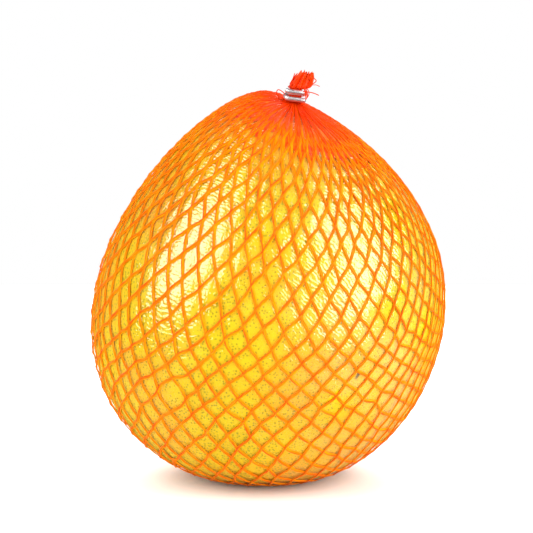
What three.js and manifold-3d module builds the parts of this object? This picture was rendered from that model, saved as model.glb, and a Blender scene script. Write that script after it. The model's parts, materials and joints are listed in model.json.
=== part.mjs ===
// A pomelo as a greengrocer sells it: the fruit in clear stretch film, inside a tube of
// knitted orange netting that is drawn together at both ends and closed with wire clips.
// Units are millimetres. +Z is up, -Y is the front, and the part stands on z = 0.
import * as THREE from "three";
import { mergeVertices } from "three/addons/utils/BufferGeometryUtils.js";
import Module from "manifold-3d";

// Size of the packed fruit, measured over the netting
const netWidth = 150;
const domeAboveEquator = 97;
const baseBelowEquator = 72.8;

// Layers, from the peel outwards
const layerGap = 0.3;
const filmThickness = 0.6;
const netClearance = 0.8;
const strandHeight = 1.4;
const filmInside = layerGap;
const filmOutside = filmInside + filmThickness;
const netInside = filmOutside + netClearance;
const netOutside = netInside + strandHeight;

// Form of the fruit
const fruitRadius = netWidth / 2 - netOutside;
const stemHeight = domeAboveEquator - netOutside;
const baseHeight = baseBelowEquator - netOutside;
const lowerFullness = 0.98; // 1 is as full as a ball
const upperFullness = 1.47; // more than 1 narrows towards a blunt cone
const lean = 0.07; // the shoulders stand to the right of the base
const leanEnds = 85; // from the equator, where the lean has come back to nothing
const hollowDepth = 4.5; // shallow dish at the blossom end: the fruit stands on its rim
const hollowReach = 19;
const stemDip = 0.8;
const stemDipReach = 7;
const lobeDepth = 0.007; // of the radius

// Netting: the meshes are drawn larger than life
const meshesAround = 30;
const strandLength = 12.6;
const strandHalfWidth = 0.9;
const smallestOpening = 0.22; // of a mesh: anything smaller has closed up
const endRowReach = 13;
const pressedFlat = 0.7;

// The netting lies askew: its upper gather sits to the right of the stem and towards the
// front, and its lower one well up the back
const upperTilt = THREE.MathUtils.degToRad(19);
const upperAzimuth = THREE.MathUtils.degToRad(-36);
const lowerTilt = THREE.MathUtils.degToRad(45);
const lowerAzimuth = THREE.MathUtils.degToRad(-106);
const upperNeckAxis = new THREE.Vector3(0.06, -0.12, 1).normalize();

// Gathered neck and wire clip
const neckHalfWidth = 2.6;
const neckHalfDepth = 2.3;
const neckPleats = 8;
const clipWire = 2.1;
const clipPitch = 2.7;
const clipSquareness = 0.75; // power that flattens the loop's front and back
const clipHeight = (turns) => turns * clipPitch + clipWire;

const PI = Math.PI;
const smooth = (t) => THREE.MathUtils.smoothstep(t, 0, 1);

// Distance from the axis and height above the equator, at an angle up from the blossom end.
function profile(phi) {
  const upper = phi > PI / 2;
  const fullness = THREE.MathUtils.lerp(lowerFullness, upperFullness, smooth((phi * 3) / PI - 1));
  const reach = fruitRadius * Math.sin(phi) ** fullness;
  const dip = upper
    ? -stemDip * Math.exp(-((reach / stemDipReach) ** 2))
    : hollowDepth * Math.exp(-((reach / hollowReach) ** 2));
  return { reach, height: -(upper ? stemHeight : baseHeight) * Math.cos(phi) + dip };
}

// A point on the fruit, or offset straight out from it.
function bodyPoint(phi, theta, offset) {
  const step = 0.003;
  const at = Math.min(Math.max(phi, step), PI - step);
  const here = profile(phi);
  const before = profile(at - step);
  const after = profile(at + step);
  const out = new THREE.Vector2(after.height - before.height, before.reach - after.reach);
  out.normalize();
  const lobes = 1 + lobeDepth * Math.sin(phi) * (Math.sin(2 * theta + 0.6) + Math.sin(5 * theta));
  const reach = here.reach * lobes + offset * out.x;
  const height = here.height + offset * out.y;
  return new THREE.Vector3(
    reach * Math.cos(theta) + lean * height * (1 - (height / leanEnds) ** 2),
    reach * Math.sin(theta),
    height,
  );
}

// The same for the netting, each end of which is turned towards its own gather.
const turnTowards = (tilt, azimuth) =>
  new THREE.Vector3(-Math.sin(azimuth), Math.cos(azimuth), 0).multiplyScalar(tilt);
const upperTurn = turnTowards(upperTilt, upperAzimuth);
const lowerTurn = turnTowards(lowerTilt, lowerAzimuth);

function netPoint(phi, theta, offset) {
  const way = new THREE.Vector3(
    Math.sin(phi) * Math.cos(theta),
    Math.sin(phi) * Math.sin(theta),
    -Math.cos(phi),
  );
  const turn = lowerTurn.clone().lerp(upperTurn, smooth(phi / PI));
  way.applyAxisAngle(turn.clone().normalize(), turn.length());
  const upFromBase = Math.acos(THREE.MathUtils.clamp(-way.z, -1, 1));
  return bodyPoint(upFromBase, Math.atan2(way.y, way.x), offset);
}

// Repeats the same draws each time.
function seeded(seed) {
  let state = seed;
  return () => {
    state = (state * 1664525 + 1013904223) % 4294967296;
    return state / 4294967296;
  };
}

const wasm = await Module();
wasm.setup();

function solidOf(geometry) {
  const bare = geometry.clone();
  bare.deleteAttribute("normal");
  bare.deleteAttribute("uv");
  const merged = mergeVertices(bare, 1e-3);
  return new wasm.Manifold(
    new wasm.Mesh({
      numProp: 3,
      vertProperties: merged.attributes.position.array,
      triVerts: new Uint32Array(merged.index.array),
    }),
  );
}

function geometryOf(solid) {
  const mesh = solid.getMesh();
  const geometry = new THREE.BufferGeometry();
  geometry.setAttribute("position", new THREE.BufferAttribute(mesh.vertProperties, 3));
  geometry.setIndex(new THREE.BufferAttribute(mesh.triVerts, 1));
  return geometry;
}

function geometryFrom(points, triangles) {
  const geometry = new THREE.BufferGeometry().setFromPoints(points);
  geometry.setIndex(triangles.flat());
  return geometry;
}

// A closed skin through rings of points, from one end point to the other.
function closedSkin(first, rings, last) {
  const around = rings[0].length;
  const points = [first, ...rings.flat(), last];
  const at = (ring, i) => 1 + ring * around + (i % around);
  const triangles = [];
  for (let i = 0; i < around; i++) {
    triangles.push([0, at(0, i + 1), at(0, i)]);
    for (let ring = 1; ring < rings.length; ring++) {
      triangles.push([at(ring - 1, i), at(ring - 1, i + 1), at(ring, i + 1)]);
      triangles.push([at(ring - 1, i), at(ring, i + 1), at(ring, i)]);
    }
    triangles.push([at(rings.length - 1, i), at(rings.length - 1, i + 1), points.length - 1]);
  }
  return geometryFrom(points, triangles);
}

const ringOf = (around, pointAt) =>
  Array.from({ length: around }, (_, i) => pointAt((2 * PI * i) / around));

const steps = (count) => Array.from({ length: count }, (_, i) => (i + 1) / (count + 1));

// The fruit, with its dished blossom end and the dip round its stem scar
const bodyAround = 36;
const bodyRings = 19;

function pomeloGeometry() {
  const rings = steps(bodyRings).map((t) =>
    ringOf(bodyAround, (theta) => bodyPoint(t * PI, theta, 0)),
  );
  return closedSkin(bodyPoint(0, 0, 0), rings, bodyPoint(PI, 0, 0));
}

// Stretch film on the peel, open where its edges are drawn in under the base
const filmEdgeRings = 1;

function filmGeometry() {
  const angles = steps(bodyRings).map((t) => t * PI).slice(filmEdgeRings);
  const skin = (offset) => (phi) => ringOf(bodyAround, (theta) => bodyPoint(phi, theta, offset));
  const inner = angles.map(skin(filmInside)).reverse();
  const outer = angles.map(skin(filmOutside));
  return closedSkin(bodyPoint(PI, 0, filmInside), [...inner, ...outer], bodyPoint(PI, 0, filmOutside));
}

// Rows of crossings, from the lower gather to the upper one: the strands keep their length,
// so the meshes grow long and narrow towards both ends.
function netRows() {
  const rows = [];
  const walk = 0.002;
  let phi = endRowReach / fruitRadius;
  let gone = Infinity;
  let step = 0;
  while (phi < PI / 2 || profile(phi).reach > endRowReach) {
    if (gone >= step) {
      rows.push(phi);
      const halfMesh = (PI * profile(phi).reach) / meshesAround;
      step = Math.sqrt(strandLength ** 2 - halfMesh ** 2);
      gone = 0;
    }
    const here = profile(phi);
    phi += walk;
    const next = profile(phi);
    gone += Math.hypot(next.reach - here.reach, next.height - here.height);
  }
  return rows;
}

// The open part of the netting: strands with a ridge along their middle, and a flat inside.
function openNetGeometry(rows) {
  const last = rows.length - 1;
  const points = [];
  const triangles = [];
  const add = (phi, theta, offset) => points.push(netPoint(phi, theta, offset)) - 1;
  const turn = (row, i) => (2 * PI * (i + (row % 2) / 2)) / meshesAround;
  const wrap = (i) => (i + meshesAround) % meshesAround;
  const crossings = rows.map((phi, row) =>
    Array.from({ length: meshesAround }, (_, i) => add(phi, turn(row, i), netOutside)),
  );

  // Mesh i of a row lies between its crossings i and i + 1
  const meshes = rows.map((phi, row) =>
    Array.from({ length: meshesAround }, (_, i) => {
      const middle = turn(row, i + 0.5);
      const halfTurn = PI / meshesAround;
      const halfWidth = halfTurn * profile(phi).reach;
      const open = 1 - strandHalfWidth / halfWidth / Math.sqrt(1 - (halfWidth / strandLength) ** 2);
      if (row === 0 || row === last || open < smallestOpening) {
        const inside = add(phi, middle, netInside);
        return { closed: true, left: inside, right: inside, top: inside, bottom: inside,
          outside: add(phi, middle, netOutside) };
      }
      return {
        closed: false,
        left: add(phi, middle - open * halfTurn, netInside),
        right: add(phi, middle + open * halfTurn, netInside),
        top: add(phi + open * (rows[row + 1] - phi), middle, netInside),
        bottom: add(phi + open * (rows[row - 1] - phi), middle, netInside),
      };
    }),
  );

  const face = (a, b, c) => {
    if (a !== b && b !== c && c !== a) triangles.push([a, b, c]);
  };
  const quad = (a, b, c, d) => {
    face(a, b, c);
    face(a, c, d);
  };

  for (let row = 0; row <= last; row++) {
    const odd = row % 2;
    for (let i = 0; i < meshesAround; i++) {
      const mesh = meshes[row][i];
      const left = crossings[row][i];
      const right = crossings[row][wrap(i + 1)];
      const above = row < last ? crossings[row + 1][wrap(i + odd)] : null;
      const below = row > 0 ? crossings[row - 1][wrap(i + odd)] : null;

      // Strand flanks round an open mesh, or the closed-up face of a tight one
      if (mesh.closed) {
        if (above !== null) {
          face(mesh.outside, above, left);
          face(mesh.outside, right, above);
        }
        if (below !== null) {
          face(mesh.outside, left, below);
          face(mesh.outside, below, right);
        }
      } else {
        quad(mesh.left, mesh.top, above, left);
        quad(mesh.top, mesh.right, right, above);
        quad(mesh.right, mesh.bottom, below, right);
        quad(mesh.bottom, mesh.left, left, below);
      }

      // Inside face of crossing i, and of the two strands that rise from it
      const before = meshes[row][wrap(i - 1)];
      const over = row < last ? meshes[row + 1][wrap(i - 1 + odd)] : null;
      const under = row > 0 ? meshes[row - 1][wrap(i - 1 + odd)] : null;
      if (over && under) quad(before.right, over.bottom, mesh.left, under.top);
      else if (over) face(before.right, over.bottom, mesh.left);
      else face(before.right, mesh.left, under.top);
      if (over) {
        const nextOver = meshes[row + 1][wrap(i + odd)];
        quad(over.bottom, over.right, mesh.top, mesh.left);
        quad(before.right, before.top, over.left, over.bottom);
        if (nextOver === over) throw new Error("the netting needs more meshes");
      }
    }
  }

  // End faces, which the gathers cover
  for (const [row, flip] of [[0, true], [last, false]]) {
    for (let i = 0; i < meshesAround; i++) {
      const mesh = meshes[row][i];
      const next = meshes[row][wrap(i + 1)];
      const crossing = crossings[row][wrap(i + 1)];
      const end = [
        [mesh.left, mesh.outside, crossing],
        [mesh.left, crossing, next.left],
        [next.left, crossing, next.outside],
      ];
      for (const [a, b, c] of end) face(a, flip ? c : b, flip ? b : c);
    }
  }
  return geometryFrom(points, triangles);
}

// Where a neck leaves the fruit, which way it points, and its own left-to-right and depth
function neckFrame(pole, axis) {
  const across = new THREE.Vector3(1, 0, 0).addScaledVector(axis, -axis.x).normalize();
  return { pole, axis, across, depth: axis.clone().cross(across) };
}

const lowerNeckAxis = netPoint(0, 0, 1).sub(netPoint(0, 0, 0));
const upperNeck = neckFrame(netPoint(PI, 0, netInside), upperNeckAxis);
const lowerNeck = neckFrame(netPoint(0, 0, netInside), lowerNeckAxis);

// A point round a neck: the oval's power squares it off as a pressed clip leaves it.
function neckPoint(neck, along, theta, halfWidth, halfDepth, power = 1) {
  const oval = (v) => Math.sign(v) * Math.abs(v) ** power;
  return neck.pole
    .clone()
    .addScaledVector(neck.axis, along)
    .addScaledVector(neck.across, halfWidth * oval(Math.cos(theta)))
    .addScaledVector(neck.depth, halfDepth * oval(Math.sin(theta)));
}

// The netting drawn together: a pleated cone off the fruit, a tight neck, and a cut tail.
const gatherAround = 32;

function gatherGeometry({ neck, poleAngle, edgeAngle, shoulder, turns, tail, tailSpread, rag, seed }) {
  const draw = seeded(seed);
  const around = poleAngle === 0 ? -1 : 1; // so that both gathers turn right-handed
  const between = (t) => THREE.MathUtils.lerp(poleAngle, edgeAngle, t);
  const pleat = (theta, depth) => 1 + depth * Math.cos(neckPleats * theta);
  const rings = [];
  const under = netInside + layerGap;
  const clipTop = shoulder + clipHeight(turns);
  for (const t of [0.35, 0.7, 1]) {
    rings.push(ringOf(gatherAround, (theta) => netPoint(between(t), around * theta, under)));
  }
  for (const t of [1, 0.75, 0.5]) {
    const climb = (1 - t) ** 2 * 4 * shoulder;
    rings.push(
      ringOf(gatherAround, (theta) => {
        const onFruit = netPoint(between(t), around * theta, netOutside - layerGap);
        const onNeck = neckPoint(neck, climb, theta, neckHalfWidth, neckHalfDepth);
        return onFruit.lerp(onNeck, smooth((1 - t) * 1.3) * pleat(theta, 0.16));
      }),
    );
  }
  for (const along of [shoulder, (shoulder + clipTop) / 2, clipTop]) {
    rings.push(
      ringOf(gatherAround, (theta) => {
        const fold = pleat(theta, 0.05) - 0.05;
        return neckPoint(neck, along, theta, neckHalfWidth * fold, neckHalfDepth * fold, clipSquareness);
      }),
    );
  }
  for (const t of [0.3, 0.65, 1]) {
    const ragged = ringOf(gatherAround, () => (draw() - 0.5) * rag * t);
    const flare = 1 + (tailSpread - 1) * Math.sin(t * PI * 0.62);
    rings.push(
      ringOf(gatherAround, (theta) => {
        const along = clipTop + tail * t + ragged[Math.round((theta * gatherAround) / (2 * PI))];
        const fold = flare * pleat(theta, 0.09);
        return neckPoint(neck, along, theta, neckHalfWidth * fold, neckHalfDepth * fold);
      }),
    );
  }
  const end = neckPoint(neck, clipTop + tail * 0.85, 0, 0, 0);
  return closedSkin(netPoint(poleAngle, 0, under), rings, end);
}

const upperShoulder = 1.3;
const lowerShoulder = 1.3;
const upperTurns = 1.5;
const lowerTurns = 1.5;
const upperTail = 6.2;
const lowerTail = 5;

function netGeometry() {
  const rows = netRows();
  const last = rows.length - 1;
  const edgeShare = 0.35; // how far a gather reaches over the last open row
  const upper = gatherGeometry({
    neck: upperNeck,
    poleAngle: PI,
    edgeAngle: THREE.MathUtils.lerp(rows[last], rows[last - 1], edgeShare),
    shoulder: upperShoulder,
    turns: upperTurns,
    tail: upperTail,
    tailSpread: 1.85,
    rag: 2.6,
    seed: 11,
  });
  const lower = gatherGeometry({
    neck: lowerNeck,
    poleAngle: 0,
    edgeAngle: THREE.MathUtils.lerp(rows[0], rows[1], edgeShare),
    shoulder: lowerShoulder,
    turns: lowerTurns,
    tail: lowerTail,
    tailSpread: 1.6,
    rag: 2,
    seed: 12,
  });
  const net = solidOf(openNetGeometry(rows)).add(solidOf(upper)).add(solidOf(lower));
  const lowest = net.boundingBox().min[2];
  const slab = new THREE.BoxGeometry(netWidth, netWidth, netWidth);
  slab.translate(0, 0, lowest + pressedFlat - netWidth / 2);
  const shells = net.subtract(solidOf(slab)).decompose();

  // Small pockets shut in under the pleats are filled
  return geometryOf(shells.find((shell) => shell.volume() > 0));
}

// Soft wire wound round a neck and pressed tight, its ends at the sides
const clipSides = 8;
const clipSteps = 30;

function clipGeometry(neck, shoulder, turns) {
  const halfWidth = neckHalfWidth + layerGap + clipWire / 2;
  const halfDepth = neckHalfDepth + layerGap + clipWire / 2;
  const path = new THREE.CatmullRomCurve3(
    Array.from({ length: clipSteps + 1 }, (_, i) => {
      const t = i / clipSteps;
      const along = shoulder + clipWire / 2 + (1 - t) * turns * clipPitch;
      return neckPoint(neck, along, PI + t * turns * 2 * PI, halfWidth, halfDepth, clipSquareness);
    }),
  );
  const section = new THREE.Shape(
    Array.from({ length: clipSides }, (_, i) => {
      const angle = (2 * PI * (i + 0.5)) / clipSides;
      return new THREE.Vector2(Math.cos(angle), Math.sin(angle)).multiplyScalar(clipWire / 2);
    }),
  );
  return new THREE.ExtrudeGeometry(section, { steps: clipSteps, extrudePath: path });
}

const peel = new THREE.MeshStandardMaterial({ color: "#f2cf1d", roughness: 0.5 });
const clearFilm = new THREE.MeshStandardMaterial({
  color: "#fbf6dc",
  roughness: 0.15,
  transparent: true,
  opacity: 0.25,
});
const orangeNetting = new THREE.MeshStandardMaterial({ color: "#ff6a0a", roughness: 0.45 });
const clipAluminium = new THREE.MeshStandardMaterial({
  color: "#e8e8ea",
  roughness: 0.3,
  metalness: 1,
});

function meshOf(name, geometry, material) {
  const mesh = new THREE.Mesh(geometry, material);
  mesh.name = name;
  return mesh;
}

const pack = new THREE.Group();
pack.add(
  meshOf("pomelo", pomeloGeometry(), peel),
  meshOf("film_wrap", filmGeometry(), clearFilm),
  meshOf("net", netGeometry(), orangeNetting),
  meshOf("upper_clip", clipGeometry(upperNeck, upperShoulder, upperTurns), clipAluminium),
  meshOf("lower_clip", clipGeometry(lowerNeck, lowerShoulder, lowerTurns), clipAluminium),
);

// Stands the pack on z = 0, centred on the vertical axis
const extent = new THREE.Box3().setFromObject(pack);
const middle = extent.getCenter(new THREE.Vector3());
pack.position.set(-middle.x, -middle.y, -extent.min.z);

export default pack;
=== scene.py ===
import json
import math

import bpy
import numpy as np
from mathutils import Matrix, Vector

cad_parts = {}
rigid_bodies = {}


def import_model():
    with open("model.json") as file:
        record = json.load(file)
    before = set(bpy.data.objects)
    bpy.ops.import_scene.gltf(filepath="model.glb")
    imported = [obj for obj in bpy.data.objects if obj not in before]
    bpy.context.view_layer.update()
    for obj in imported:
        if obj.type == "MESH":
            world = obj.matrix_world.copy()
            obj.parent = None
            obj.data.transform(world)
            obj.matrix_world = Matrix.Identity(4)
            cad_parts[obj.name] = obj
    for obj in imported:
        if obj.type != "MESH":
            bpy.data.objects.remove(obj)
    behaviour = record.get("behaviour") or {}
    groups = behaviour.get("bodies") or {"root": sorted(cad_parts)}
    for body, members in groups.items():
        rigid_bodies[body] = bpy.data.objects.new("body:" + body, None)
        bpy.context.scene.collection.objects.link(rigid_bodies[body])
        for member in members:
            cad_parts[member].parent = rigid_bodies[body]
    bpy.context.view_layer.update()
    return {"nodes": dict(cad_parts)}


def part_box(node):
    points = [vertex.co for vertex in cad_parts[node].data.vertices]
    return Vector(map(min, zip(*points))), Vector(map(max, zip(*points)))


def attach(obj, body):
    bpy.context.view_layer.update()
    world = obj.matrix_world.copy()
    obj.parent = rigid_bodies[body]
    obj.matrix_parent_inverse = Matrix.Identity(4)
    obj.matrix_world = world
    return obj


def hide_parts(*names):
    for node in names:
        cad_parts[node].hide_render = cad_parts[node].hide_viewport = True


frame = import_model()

mm = 0.001
print("frame loaded")


# small helpers

def toLinear(hexColour):
    parts = [int(hexColour[i:i + 2], 16) / 255 for i in (1, 3, 5)]
    linear = [c / 12.92 if c <= 0.04045 else ((c + 0.055) / 1.055) ** 2.4 for c in parts]
    return (*linear, 1.0)


def smooth(t):
    t = np.clip(t, 0.0, 1.0)
    return t * t * (3 - 2 * t)


def mix(a, b, t):
    return a + (b - a) * t


def addNode(tree, kind, settings=None, links=None, values=None):
    # settings are the node's own properties, values its sockets, links what feeds a socket
    node = tree.nodes.new(kind)
    for name, value in (settings or {}).items():
        setattr(node, name, value)
    for name, value in (values or {}).items():
        node.inputs[name].default_value = value
    for name, (source, output) in (links or {}).items():
        tree.links.new(source.outputs[output], node.inputs[name])
    return node


def newMaterial(name):
    material = bpy.data.materials.new(name)
    material.use_nodes = True
    material.node_tree.nodes.clear()
    return material, material.node_tree


def setRamp(node, stops):
    ramp = node.color_ramp
    while len(ramp.elements) < len(stops):
        ramp.elements.new(0.5)
    for element, (position, colour) in zip(ramp.elements, stops):
        element.position = position
        element.color = colour


def makePiece(name, points, faces, material, nodeName):
    # points: (n, 3) array in metres; faces: list of (m, 3) or (m, 4) index arrays
    mesh = bpy.data.meshes.new(name)
    mesh.vertices.add(len(points))
    mesh.vertices.foreach_set("co", np.asarray(points, dtype=np.float32).ravel())
    sizes = np.concatenate([np.full(len(f), f.shape[1]) for f in faces])
    corners = np.concatenate([f.ravel() for f in faces])
    mesh.loops.add(len(corners))
    mesh.loops.foreach_set("vertex_index", corners.astype(np.int32))
    mesh.polygons.add(len(sizes))
    mesh.polygons.foreach_set("loop_start", (np.cumsum(sizes) - sizes).astype(np.int32))
    mesh.polygons.foreach_set("loop_total", sizes.astype(np.int32))
    mesh.polygons.foreach_set("use_smooth", np.full(len(sizes), True))
    mesh.update(calc_edges=True)
    mesh.validate()
    mesh.materials.append(material)
    piece = bpy.data.objects.new(name, mesh)
    bpy.context.scene.collection.objects.link(piece)
    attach(piece, "root")
    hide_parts(nodeName)


def gridFaces(rows, columns, wrap=True):
    # quads over rows x columns points; wrap joins the last column to the first
    last = columns if wrap else columns - 1
    r, c = np.meshgrid(np.arange(rows - 1), np.arange(last), indexing="ij")
    r, c = r.ravel(), c.ravel()
    n = (c + 1) % columns
    below, above = r * columns, (r + 1) * columns
    return np.stack([below + c, below + n, above + n, above + c], 1)


def fanFaces(tip, ring, flip=False):
    # triangles from a tip point to a closed ring of points
    after = np.roll(ring, -1)
    tips = np.full(len(ring), tip)
    return np.stack([tips, after, ring] if flip else [tips, ring, after], 1)


def waves(seed, count, low, high):
    # a soft random field on the unit ball, of about -1 to 1: count plane waves are added up,
    # each with low to high crests round the fruit
    draw = np.random.default_rng(seed)
    ways = draw.normal(size=(count, 3))
    ways *= (draw.uniform(low, high, count) / np.linalg.norm(ways, axis=1))[:, None]
    phases = draw.uniform(0, 2 * math.pi, count)

    def field(directions):
        return np.sin(directions @ ways.T + phases).sum(-1) / math.sqrt(count)
    return field


# camera and light

photo = dict(
    elevation=8.0,       # degrees
    distance=1.1,        # m from the aim
    aim=(-0.0007, 0.0, 0.0897),
    lens=176.7,          # mm
    sensorWidth=36.0,    # mm
)


def makeCamera(s):
    data = bpy.data.cameras.new("photoCamera")
    data.sensor_width = s["sensorWidth"]
    data.lens = s["lens"]
    camera = bpy.data.objects.new("photoCamera", data)
    bpy.context.scene.collection.objects.link(camera)
    tilt = math.radians(s["elevation"])
    aim = Vector(s["aim"])
    camera.location = aim + s["distance"] * Vector((0, -math.cos(tilt), math.sin(tilt)))
    camera.rotation_euler = (math.radians(90) - tilt, 0, 0)
    bpy.context.scene.camera = camera


studio = dict(
    backdrop="#FFFFFF",
    roomBehind=0.1,      # brightness of the white backdrop, and of the unlit room in front
    roomInFront=0.07,
    roomTurns=(-0.55, 0.15),     # front to back, where the one turns into the other
    floorSize=1.1,
    floorColour="#EFEEED", floorRoughness=0.9, floorSpecular=0.1,
    paintedGlow=0.45, paintedGlowFrom=0.012, paintedGlowTo=0.072,     # painted glow of the floor, in m from the middle
    boxAim=(0, 0, 0.07), boxDistance=2.0,
    boxes=[
        dict(name="softboxLeft", way=(-0.73, -0.38, 0.56), width=1.5, height=1.9, power=41.0),
        dict(name="softboxRight", way=(0.77, -0.41, 0.47), width=1.6, height=2.0, power=54.0),
        dict(name="frontFill", way=(0.34, -1.0, 0.05), width=1.5, height=1.5, power=20.0, seenInGloss=False),
        dict(name="backdropWash", way=(0.0, 0.72, 0.7), width=2.4, height=1.6, power=60.0, seenInGloss=False),
    ],
)


def makeStudio(s):
    world = bpy.data.worlds.new("whiteStudio")
    world.use_nodes = True
    tree = world.node_tree
    tree.nodes.clear()
    place = addNode(tree, "ShaderNodeTexCoord")
    parts = addNode(tree, "ShaderNodeSeparateXYZ", links={"Vector": (place, "Generated")})
    forward, back = s["roomTurns"]
    room = addNode(tree, "ShaderNodeMapRange", links={"Value": (parts, "Y")}, values={
        "From Min": forward, "From Max": back, "To Min": s["roomInFront"], "To Max": s["roomBehind"]})
    lit = addNode(tree, "ShaderNodeBackground", values={"Color": toLinear(s["backdrop"])},
                  links={"Strength": (room, "Result")})
    seen = addNode(tree, "ShaderNodeBackground",
                   values={"Color": toLinear(s["backdrop"]), "Strength": 1.0})
    path = addNode(tree, "ShaderNodeLightPath")
    both = addNode(tree, "ShaderNodeMixShader", links={"Fac": (path, "Is Camera Ray")})
    tree.links.new(lit.outputs["Background"], both.inputs[1])
    tree.links.new(seen.outputs["Background"], both.inputs[2])
    addNode(tree, "ShaderNodeOutputWorld", links={"Surface": (both, "Shader")})
    bpy.context.scene.world = world
    centre = Vector(s["boxAim"])
    for box in s["boxes"]:
        data = bpy.data.lights.new(box["name"], "AREA")
        data.shape = "RECTANGLE"
        data.size = box["width"]
        data.size_y = box["height"]
        data.energy = box["power"]
        lamp = bpy.data.objects.new(box["name"], data)
        bpy.context.scene.collection.objects.link(lamp)
        way = Vector(box["way"]).normalized()
        lamp.location = centre + s["boxDistance"] * way
        lamp.rotation_euler = way.to_track_quat("Z", "Y").to_euler()
        lamp.visible_glossy = box.get("seenInGloss", True)

    # white floor that glows with painted light, none near the middle and fully further out, so the shadow
    # under the fruit stays short and soft
    material, tree = newMaterial("whiteFloorPaintedGlow")
    place = addNode(tree, "ShaderNodeTexCoord")
    away = addNode(tree, "ShaderNodeVectorMath", {"operation": "LENGTH"}, links={0: (place, "Object")})
    below = addNode(tree, "ShaderNodeMapRange", {"interpolation_type": "SMOOTHSTEP"},
                    links={"Value": (away, "Value")},
                    values={"From Min": s["paintedGlowFrom"], "From Max": s["paintedGlowTo"], "To Max": s["paintedGlow"]})
    white = toLinear(s["floorColour"])
    # the floor's emission is painted light, not a lamp
    glowingFloor = addNode(tree, "ShaderNodeBsdfPrincipled", links={"Emission Strength": (below, "Result")},
                      values={"Base Color": white, "Emission Color": white,
                              "Roughness": s["floorRoughness"], "Specular IOR Level": s["floorSpecular"]})
    addNode(tree, "ShaderNodeOutputMaterial", links={"Surface": (glowingFloor, "BSDF")})
    half = s["floorSize"] / 2
    corners = [(-half, -half, 0), (half, -half, 0), (half, half, 0), (-half, half, 0)]
    mesh = bpy.data.meshes.new("studioFloor")
    mesh.from_pydata(corners, [], [(0, 1, 2, 3)])
    mesh.materials.append(material)
    floor = bpy.data.objects.new("studioFloor", mesh)
    bpy.context.scene.collection.objects.link(floor)
    floor.visible_glossy = False    # keeps the lower half of the fruit from looking milky
    view = bpy.context.scene.view_settings
    view.view_transform = "Standard"
    view.look = "None"


makeCamera(photo)
makeStudio(studio)
print("camera and studio made")


# form of the fruit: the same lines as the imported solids, here in metres

fruit = dict(
    netWidth=150 * mm,
    domeAboveEquator=97 * mm,
    baseBelowEquator=72.8 * mm,
    netOutside=3.1 * mm,
    netInside=1.7 * mm,
    lowerFullness=0.98,
    upperFullness=1.47,
    lean=0.07,
    leanEnds=85 * mm,
    hollowDepth=4.5 * mm,
    hollowReach=19 * mm,
    stemDip=0.8 * mm,
    stemDipReach=7 * mm,
    lobeDepth=0.007,
)
fruitRadius = fruit["netWidth"] / 2 - fruit["netOutside"]


def profile(phi):
    # reach from the axis and height above the equator, at an angle up from the blossom end
    s = fruit
    upper = phi > math.pi / 2
    fullness = mix(s["lowerFullness"], s["upperFullness"], smooth(phi * 3 / math.pi - 1))
    reach = fruitRadius * np.maximum(np.sin(phi), 1e-9) ** fullness
    dip = np.where(
        upper,
        -s["stemDip"] * np.exp(-((reach / s["stemDipReach"]) ** 2)),
        s["hollowDepth"] * np.exp(-((reach / s["hollowReach"]) ** 2)),
    )
    ends = np.where(upper, s["domeAboveEquator"], s["baseBelowEquator"]) - s["netOutside"]
    return reach, -ends * np.cos(phi) + dip


def bodyPoints(phi, theta, offset):
    # points on the fruit, or offset straight out from it
    s = fruit
    phi, theta, offset = np.broadcast_arrays(
        np.asarray(phi, float), np.asarray(theta, float), np.asarray(offset, float))
    step = 0.003    # radians
    at = np.clip(phi, step, math.pi - step)
    reach, height = profile(phi)
    reachBefore, heightBefore = profile(at - step)
    reachAfter, heightAfter = profile(at + step)
    outX = heightAfter - heightBefore
    outZ = reachBefore - reachAfter
    size = np.hypot(outX, outZ)
    # two and five shallow lobes round it
    lobes = 1 + s["lobeDepth"] * np.sin(phi) * (np.sin(2 * theta + 0.6) + np.sin(5 * theta))
    reach = reach * lobes + offset * outX / size
    height = height + offset * outZ / size
    leaning = s["lean"] * height * (1 - (height / s["leanEnds"]) ** 2)
    return np.stack([reach * np.cos(theta) + leaning, reach * np.sin(theta), height], -1)


def directionsOf(phi, theta):
    phi, theta = np.broadcast_arrays(phi, theta)
    return np.stack([np.sin(phi) * np.cos(theta), np.sin(phi) * np.sin(theta), -np.cos(phi)], -1)


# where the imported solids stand: their box against the same steps of the same form
phiSteps = np.arange(0, 21) / 20 * math.pi
thetaSteps = np.arange(36) / 36 * 2 * math.pi
ownPomelo = bodyPoints(phiSteps[:, None], thetaSteps[None, :], 0.0).reshape(-1, 3)
packedLow, packedHigh = np.array(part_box("pomelo"))
standing = (packedLow - ownPomelo.min(0) + packedHigh - ownPomelo.max(0)) / 2
print("fruit placed at", standing.round(5).tolist())


# the netting's own directions: each end is turned towards its gather

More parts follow.
